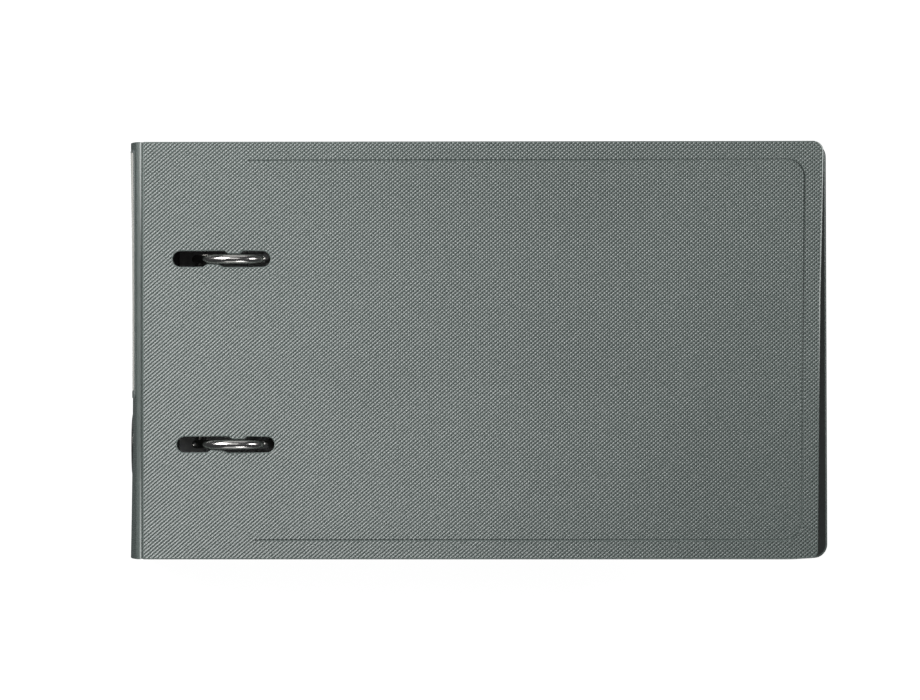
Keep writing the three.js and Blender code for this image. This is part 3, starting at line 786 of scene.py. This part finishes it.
def frame_line():
    """The tool that presses the line: run along three sides, least deep at the free foot corner."""
    deep, shallow, tool = 0.75 * MM, 0.4 * MM, 0.45 * MM
    free = FRONT_FREE - 8.2 * MM
    lean = 1.4 * MM
    corner = 7.5 * MM
    head_inset, head_start_inset, foot_inset = 7.5 * MM, 8.1 * MM, 8.3 * MM
    head_start = [FOLD_X + 46.8 * MM, HEAD - head_start_inset, 0]
    head_corner = [free, HEAD - head_inset, corner]
    foot_corner = [free - lean, FOOT + foot_inset, corner]
    foot_start = [FOLD_X + 49.8 * MM, FOOT + foot_inset, 0]
    route = rounded([head_start, head_corner, foot_corner, foot_start], 12)
    data = bpy.data.curves.new("line", "CURVE")
    data.dimensions = "3D"
    data.bevel_depth = tool
    data.bevel_resolution = 4
    data.use_fill_caps = True
    spline = data.splines.new("POLY")
    spline.points.add(len(route) - 1)
    for point, (x, y) in zip(spline.points, route):
        share = (HEAD - y) / (HEAD - FOOT) * (x - FOLD_X) / (free - FOLD_X)
        depth = deep + (shallow - deep) * share
        point.co = (x, y, FRONT_HIGH.z + tool - depth, 1)
    bm = meshed(data)
    tidy(bm)
    return bm


def front_outline():
    """The front cover: its free edge leans towards the fold at the foot, in long soft bends."""
    return rounded([
        [FRONT_LOW.x, FOOT, SHARP_CORNER],
        [FRONT_FREE - 14 * MM, FOOT, 100 * MM],
        [FRONT_FREE - 2.5 * MM, FOOT + 0.7 * MM, 3 * MM],
        [FRONT_FREE - 2.05 * MM, HEAD - 130 * MM, 1500 * MM],
        [FRONT_FREE - 1.6 * MM, HEAD - 72 * MM, 1500 * MM],
        [FRONT_FREE - 0.35 * MM, HEAD - 22 * MM, 1000 * MM],
        [FRONT_FREE, HEAD + 0.5 * MM, 4.5 * MM],
        [FOLD_X + 150 * MM, HEAD - 0.3 * MM, 15000 * MM],
        [FRONT_LOW.x, HEAD, SHARP_CORNER],
    ])


def front_board():
    embossed, plain, edge_highlight = 0, 1, 3
    slot_lead, stagger = 9 * MM, 0.9 * MM
    slots = [
        slot_contour(LEG_X - slot_lead - side * stagger, RING_MIDDLE + side * RING_Y)
        for side in (-1, 1)
    ]
    bm = cut_board([front_outline(), *slots], FRONT_LOW.z, FRONT_HIGH.z, 0.5 * MM)
    grained(bm, Vector((0, 0, 1)))
    for face in bm.faces:
        fold_rim = face.normal.z > 0.2 and face.normal.x < -0.2
        if fold_rim and face.calc_center_median().x < FOLD_X + 3 * MM:
            face.material_index = embossed
    bm = carved(bm, frame_line())
    for face in bm.faces:
        centre = face.calc_center_median()
        below_skin = FRONT_HIGH.z - BOARD / 2 < centre.z < FRONT_HIGH.z - 0.01 * MM
        past_slots = FOLD_X + 40 * MM < centre.x < FOLD_X + 290 * MM
        if below_skin and past_slots and abs(centre.y) < HEAD - 5 * MM:
            face.material_index = plain
        # The free edge's rim takes the painted highlight.
        rim = face.normal.x > 0.1 and face.normal.z > 0.1
        if rim and centre.x > FOLD_X + 289 * MM:
            face.material_index = edge_highlight
    materials = [EMBOSSED_COVER, SMOOTH_BOARD, INSIDE_SHADE_BOARD, EDGE_HIGHLIGHT_BOARD]
    piece("front_board", bm, materials, "front_cover", ["front_cover"])


def back_board():
    flare, corner = 0.9 * MM, 6 * MM
    outline = rounded([
        [BACK_LOW.x, FOOT, SHARP_CORNER],
        [BACK_FREE_FOOT, FOOT - flare, corner],
        [BACK_FREE_HEAD, HEAD + flare, corner],
        [BACK_LOW.x, HEAD, SHARP_CORNER],
    ])
    bm = cut_board([outline], BACK_LOW.z, BACK_HIGH.z, 0.8 * MM)
    recess, hole = 4.4 * MM, 1.9 * MM
    tool = bmesh.new()
    for i in range(1, 5):
        place = middle(f"cover_rivet_{i}")
        profile = [
            (0, -1 * MM), (recess, -1 * MM), (recess, 1 * MM),
            (hole, 1 * MM), (hole, 3 * MM), (0, 3 * MM),
        ]
        added(tool, turned(profile, (place.x, place.y, 0), steps=32))
    bm = carved(bm, tool)
    grained(bm, Vector((0, 0, -1)))
    materials = [EMBOSSED_COVER, SMOOTH_BOARD, INSIDE_SHADE_BOARD]
    piece("back_board", bm, materials, "root", ["back_cover"])


def spine_slack(y, across):
    """How much further out the spine bows than the plain arc: most at its two ends."""
    middle_slack, end_slack = -0.25 * MM, 0.95 * MM
    share = y / HEAD
    slack = middle_slack + end_slack * share**2
    return slack * (1 - (across / (FOLD_SPAN / 2)) ** 2)


def bowed(bm):
    """Bends a flat mesh, drawn with X across the spine and Z outwards, onto the bowed spine."""
    xs = [vert.co.x for vert in bm.verts]
    ys = [vert.co.y for vert in bm.verts]
    cuts = ((0, min(xs), max(xs), 3 * MM), (1, min(ys), max(ys), 9 * MM))
    for axis, low, high, pitch in cuts:
        normal = Vector((axis == 0, axis == 1, 0))
        count = math.ceil((high - low) / pitch)
        for i in range(1, count):
            place = normal * (low + (high - low) * i / count)
            bmesh.ops.bisect_plane(bm, geom=everything(bm), plane_co=place, plane_no=normal)
    for vert in bm.verts:
        across, along, out = vert.co
        angle = across / SPINE_RADIUS
        radius = SPINE_RADIUS + out
        x = FOLD_X + SPINE_RADIUS - SPINE_BOW - radius * math.cos(angle)
        vert.co = (x - spine_slack(along, across), along, SPINE_MIDDLE + radius * math.sin(angle))
    bmesh.ops.recalc_face_normals(bm, faces=bm.faces)
    return bm


def box_contour(x0, y0, x1, y1, radius=0.0):
    return rounded([[x0, y0, radius], [x1, y0, radius], [x1, y1, radius], [x0, y1, radius]])


def spine_board():
    half = FOLD_SPAN / 2 - PANEL_START
    hole_radius = 12 * MM
    finger = middle("finger_ring_outer")
    outline = box_contour(-half, FOOT, half, HEAD, 0.5 * MM)
    hole = arc((0, finger.y), hole_radius, 0, 360 * 47 / 48, 47)
    bm = bowed(cut_board([outline, hole], -BOARD / 2, BOARD / 2, BOARD_RIM))
    grained(bm, Vector((-1, 0, 0)), 0.95)
    materials = [EMBOSSED_SPINE, SMOOTH_BOARD, INSIDE_SHADE_BOARD]
    piece("spine_board", bm, materials, "spine", ["spine_panel"])


def fold_web(name, fold, body, up, node):
    """The thinned web of a fold: a rounded bead, with tongues into the spine and the cover."""
    bead, tongue, reach = BOARD / 2, 0.35 * MM, 1.9 * MM
    inset = 0.2 * MM
    side = Vector((1, 0, 0))
    section = [fold + side * reach + up * tongue]
    for x, z in arc((0, 0), bead, 20, 250, 16):
        section.append(fold + side * x + up * z)
    section += [
        fold - side * tongue - up * reach,
        fold + side * tongue - up * reach,
        fold + side * tongue - up * tongue,
        fold + side * reach - up * tongue,
    ]
    bm = bmesh.new()
    verts = [bm.verts.new((point.x, FOOT + inset, point.z)) for point in section]
    face = bm.faces.new(verts)
    made = bmesh.ops.extrude_face_region(bm, geom=[face])["geom"]
    moved = [item for item in made if isinstance(item, bmesh.types.BMVert)]
    bmesh.ops.translate(bm, verts=moved, vec=(0, HEAD - FOOT - 2 * inset, 0))
    bmesh.ops.recalc_face_normals(bm, faces=bm.faces)
    spine_end = fold - up * PANEL_START
    cover_end = fold + side * PANEL_START
    order = (*body, spine_end, cover_end) if body[0] == "spine" else (*body, cover_end, spine_end)
    return piece(name, bm, [FOLD_SHADE_AND_HIGHLIGHT], order, [node])


def label():
    low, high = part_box("label_pocket")
    card_low, card_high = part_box("label_card")
    half = (high.z - low.z) / 2 * 1.003
    rim = 3 * MM
    under, over = BOARD / 2 + 0.02 * MM, BOARD / 2 + 0.34 * MM
    film = over - 0.14 * MM
    window = box_contour(-half + rim, low.y + rim, half - rim, high.y, 0)
    outer, inner, mouth = 2 * MM, 1 * MM, 0.5 * MM
    weld = [
        [-half, low.y, outer],
        [half, low.y, outer],
        [half, high.y, mouth],
        [half - rim, high.y, mouth],
        [half - rim, low.y + rim, inner],
        [-half + rim, low.y + rim, inner],
        [-half + rim, high.y, mouth],
        [-half, high.y, mouth],
    ]
    bm = bowed(cut_board([rounded(weld)], under, over, 0.12 * MM))
    piece("pocket_weld", bm, [WELD], "spine", ["label_pocket"])
    bm = bowed(cut_board([window], film, over - 0.04 * MM, 0.04 * MM))
    piece("pocket_window", bm, [FILM], "spine")
    card_half = (card_high.z - card_low.z) / 2
    edges = box_contour(-card_half, card_low.y, card_half, card_high.y - 1 * MM, 0.4 * MM)
    bm = bowed(cut_board([edges], under, under + 0.12 * MM, 0.04 * MM))
    piece("blank_card", bm, [PAPER], "spine", ["label_card"])


def finger_ring():
    place = middle("finger_ring_outer")
    low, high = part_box("finger_ring_outer")
    pressed_in = 0.55 * MM
    shift = pressed_in - spine_slack(place.y, 0)
    bore, wall, flange = 10.6 * MM, 11.4 * MM, 15.5 * MM
    length = high.x - low.x
    plate = 0.7 * MM
    lip = 12.8 * MM
    profile = [
        (bore, 0.6 * MM), (bore + 0.15 * MM, 0.25 * MM), (bore + 0.6 * MM, 0.03 * MM),
        (bore + 1.1 * MM, 0), (bore + 1.8 * MM, 0.07 * MM), (bore + 2.8 * MM, 0.22 * MM),
        (bore + 3.8 * MM, 0.4 * MM), (flange - 0.4 * MM, 0.55 * MM), (flange, 0.66 * MM),
        (flange, plate), (flange - 0.7 * MM, plate), (wall, plate),
        (wall, length - 0.45 * MM), (lip, length - 0.4 * MM), (lip, length - 0.15 * MM),
        (wall, length), (bore, length - 0.3 * MM),
    ]
    bm = turned(profile, (low.x + shift, place.y, place.z), "X", 72)
    piece("finger_eyelet", bm, [NICKEL], "spine", ["finger_ring_outer"], 40)
    low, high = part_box("finger_ring_inner")
    inner, outer = 11.7 * MM, 15.5 * MM
    thick = high.x - low.x
    profile = [
        (inner, 0), (outer - 0.2 * MM, 0), (outer, 0.2 * MM), (outer - 0.6 * MM, thick),
        (inner + 0.5 * MM, thick), (inner, thick - 0.3 * MM),
    ]
    bm = turned(profile, (low.x + shift, place.y, place.z), "X", 72)
    piece("finger_washer", bm, [NICKEL], "spine", ["finger_ring_inner"], 40)


# ------------------------------------------------------------------ ring mechanism

ARCH_RADIUS = (POST_X - LEG_X) / 2
ARCH_Z = FRONT_HIGH.z + 4.6 * MM - WIRE_RADIUS - ARCH_RADIUS


def rings():
    """Both arches and their cranked shaft, one bent wire."""
    crank_x = ROLLER_AXIS.x
    crank_flat, crank_bend, leg_bend = 4 * MM, 4 * MM, 5 * MM
    arm = crank_x - LEG_X
    arch_turn = 138.5
    chamfer = 0.35 * MM
    wire = WireBender((crank_x, 0, SHAFT.z), (0, 1, 0), WIRE_RADIUS)
    wire.feed(crank_flat).bend((-1, 0, 0), crank_bend, 90, 9).feed(arm - 2 * crank_bend)
    wire.bend((0, 1, 0), crank_bend, 90, 9)
    wire.feed(RING_Y - leg_bend - crank_flat - 2 * crank_bend)
    wire.bend((0, 0, 1), leg_bend, 90, 9).feed(ARCH_Z - SHAFT.z - leg_bend)
    degrees_lost = math.degrees(chamfer / ARCH_RADIUS)
    wire.bend((1, 0, 0), ARCH_RADIUS, arch_turn - degrees_lost, 3)
    wire.feed(chamfer, 1 - chamfer / WIRE_RADIUS)
    wire.feed(0.05 * MM, 0.9).feed(1.2 * MM, 0.55).feed(0.25 * MM, 0.6)
    bm = wire.bm
    caps = [f for f in bm.faces if len(f.verts) > 4 and abs(f.calc_center_median().y) < 0.01 * MM]
    bmesh.ops.delete(bm, geom=caps, context="FACES_ONLY")
    bmesh.ops.mirror(bm, geom=everything(bm), axis="Y", merge_dist=0.01 * MM)
    bmesh.ops.translate(bm, verts=bm.verts, vec=(0, RING_MIDDLE, 0))
    tidy(bm)
    piece("ring_wire", bm, [NICKEL], "arches", ["ring_arches"], 40)


def post(name, node, y):
    low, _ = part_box(node)
    shoulder, shoulder_height, tenon = POST_SHOULDER, 1.2 * MM, 1.5 * MM
    chamfer = 0.35 * MM
    wire = WireBender((POST_X, y, PLATE_TOP + 0.5 * MM), (0, 0, 1), WIRE_RADIUS)
    wire.feed(ARCH_Z - PLATE_TOP - 0.5 * MM)
    degrees_lost = math.degrees(chamfer / ARCH_RADIUS)
    wire.bend((-1, 0, 0), ARCH_RADIUS, 40.5 - degrees_lost, 3)
    wire.feed(chamfer, 1 - chamfer / WIRE_RADIUS)
    wire.feed(0.02 * MM, 0.98).feed(-1.3 * MM, 0.62)
    bm = wire.bm
    tidy(bm)
    top = PLATE_TOP + shoulder_height
    profile = [
        (0, low.z), (tenon, low.z), (tenon, PLATE_TOP), (shoulder - 0.2 * MM, PLATE_TOP),
        (shoulder, PLATE_TOP + 0.2 * MM), (shoulder - 0.3 * MM, top - 0.3 * MM),
        (WIRE_RADIUS + 0.6 * MM, top), (WIRE_RADIUS * 0.9, top + 0.5 * MM), (0, top + 0.5 * MM),
    ]
    added(bm, turned(profile, (POST_X, y, 0), steps=40))
    piece(name, bm, [NICKEL], "root", [node], 40)


def dome(radius, base, height, steps=5):
    """Profile points of a domed head, from its rim up to its middle."""
    points = []
    for i in range(steps + 1):
        angle = math.pi / 2 * i / steps
        points.append((radius * math.cos(angle), base + height * math.sin(angle)))
    return points


def cover_rivet(index):
    node = f"cover_rivet_{index}"
    low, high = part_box(node)
    place = middle(node)
    foot, shank, head = 4 * MM, 1.6 * MM, 3.5 * MM
    foot_top = low.z + 0.8 * MM
    profile = [
        (0, low.z), (foot - 0.5 * MM, low.z), (foot, low.z + 0.35 * MM), (foot, foot_top),
        (shank, foot_top), (shank, PLATE_TOP), (head, PLATE_TOP), (head, PLATE_TOP + 0.15 * MM),
    ]
    profile += dome(head * 0.98, PLATE_TOP + 0.2 * MM, high.z - PLATE_TOP - 0.2 * MM)
    bm = turned(profile, (place.x, place.y, 0), steps=40)
    piece(f"rivet_{index}", bm, [NICKEL], "root", [node], 40)


def cross_pin(name, node, body, radius):
    """A riveted pin across the lever, with a domed head at each end."""
    low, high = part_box(node)
    place = middle(node)
    head = (high.y - low.y) / 2
    cap, flat = 0.8 * MM, 0.1 * MM
    bulge = dome(head, flat, cap - flat)
    profile = [(0, low.x)]
    profile += [(r, low.x + cap - height) for r, height in bulge[-2::-1]]
    profile += [(head, low.x + cap), (radius, low.x + cap)]
    profile += [(radius, high.x - cap), (head, high.x - cap)]
    profile += [(r, high.x - cap + height) for r, height in bulge]
    bm = turned(profile, (0, place.y, place.z), "X", 36)
    piece(name, bm, [NICKEL], body, [node], 40)


def guide_pin(name, node):
    low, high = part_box(node)
    place = middle(node)
    head, shank, cap = (high.x - low.x) / 2, 1.2 * MM, 0.7 * MM
    profile = [(0, low.z), (head - 0.2 * MM, low.z), (head, low.z + 0.2 * MM), (head, low.z + cap)]
    profile += [(shank, low.z + cap), (shank, high.z - cap)]
    profile += dome(head, high.z - cap, cap)
    bm = turned(profile, (place.x, place.y, 0), steps=32)
    piece(name, bm, [NICKEL], "compressor", [node], 40)


def base_plate():
    bm = dressed("base_plate", 0.22 * MM, 2, 40)
    rib_radius, rib_height, rib_length = 1.5 * MM, 0.8 * MM, 96 * MM
    stretch = rib_length / 2 - rib_radius
    for x in (LEG_X + 3.6 * MM, POST_X - 12.5 * MM):
        rib = bmesh.new()
        bmesh.ops.create_uvsphere(rib, u_segments=24, v_segments=12, radius=rib_radius)
        for vert in rib.verts:
            if abs(vert.co.y) > 1e-7:
                vert.co.y += math.copysign(stretch, vert.co.y)
        bmesh.ops.scale(rib, vec=(1, 1, rib_height / rib_radius), verts=rib.verts)
        bmesh.ops.translate(rib, vec=(x, RING_MIDDLE, PLATE_TOP), verts=rib.verts)
        added(bm, rib)
    piece("mechanism_plate", bm, [ZINC], "root", ["base_plate"], 40)


def lever():
    bm = dressed("lever", 0.35 * MM, 3, 25)
    piece("lever_channel", bm, [NICKEL], "lever", ["lever"], 40)


def roller():
    low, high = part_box("roller")
    radius, bore, chamfer = (high.y - low.y) / 2, 1.55 * MM, 0.5 * MM
    profile = [
        (bore, low.x), (radius - chamfer, low.x), (radius, low.x + chamfer),
        (radius, high.x - chamfer), (radius - chamfer, high.x), (bore, high.x),
    ]
    bm = turned(profile, (0, ROLLER_AXIS.y, ROLLER_AXIS.z), "X", 40)
    piece("nylon_roller", bm, [NYLON], "roller", ["roller"], 40)


def leaf_spring():
    bm = dressed("leaf_spring", 0.15 * MM, 2, 40)
    piece("spring_leaf", bm, [SPRING], "root", ["leaf_spring"], 40)
    low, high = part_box("leaf_spring_rivet")
    place = middle("leaf_spring_rivet")
    head, shank, cap = 2.6 * MM, 1.4 * MM, 0.8 * MM
    profile = [(0, low.z), (shank, low.z), (shank, high.z - cap), (head, high.z - cap)]
    profile += dome(head, high.z - cap + 0.1 * MM, cap - 0.1 * MM)
    bm = turned(profile, (place.x, place.y, 0), steps=32)
    piece("spring_rivet", bm, [NICKEL], "root", ["leaf_spring_rivet"], 40)


def compressor():
    bm = dressed("compressor_bar", 0.25 * MM, 2, 40)
    piece("compressor_channel", bm, [ZINC], "compressor", ["compressor_bar"], 40)
    bm = dressed("compressor_lock", 0.2 * MM, 2, 40)
    piece("lock_slide", bm, [ZINC], "compressor_lock", ["compressor_lock"], 40)


# ------------------------------------------------------------------ floor


FLOOR_GAP = 0.2 * MM


def floor():
    """A wide plane a hair below the file. It lights nothing, so the white stays in the picture."""
    bm = bmesh.new()
    bmesh.ops.create_grid(bm, x_segments=1, y_segments=1, size=3.0)
    mesh = bpy.data.meshes.new("floor")
    bm.to_mesh(mesh)
    bm.free()
    mesh.materials.append(FLOOR)
    obj = bpy.data.objects.new("floor", mesh)
    obj.location.z = -FLOOR_GAP
    bpy.context.scene.collection.objects.link(obj)
    obj.visible_diffuse = False
    obj.visible_glossy = False


set_camera()
set_studio()
front_board()
spine_board()
back_board()
UP = Vector((0, 0, 1))
fold_web("front_fold", FRONT_FOLD, ("spine", "front_cover"), UP, "front_hinge")
fold_web("back_fold", BACK_FOLD, ("root", "spine"), -UP, "back_hinge")
label()
finger_ring()
rings()
post("post_upper", "upper_post", RING_MIDDLE + RING_Y)
post("post_lower", "lower_post", RING_MIDDLE - RING_Y)
for number in range(1, 5):
    cover_rivet(number)
base_plate()
lever()
cross_pin("pivot_pin", "lever_pin", "root", 1.5 * MM)
cross_pin("roller_axle", "roller_pin", "lever", 1.25 * MM)
roller()
leaf_spring()
compressor()
guide_pin("guide_pin_upper", "upper_guide_pin")
guide_pin("guide_pin_lower", "lower_guide_pin")
floor()
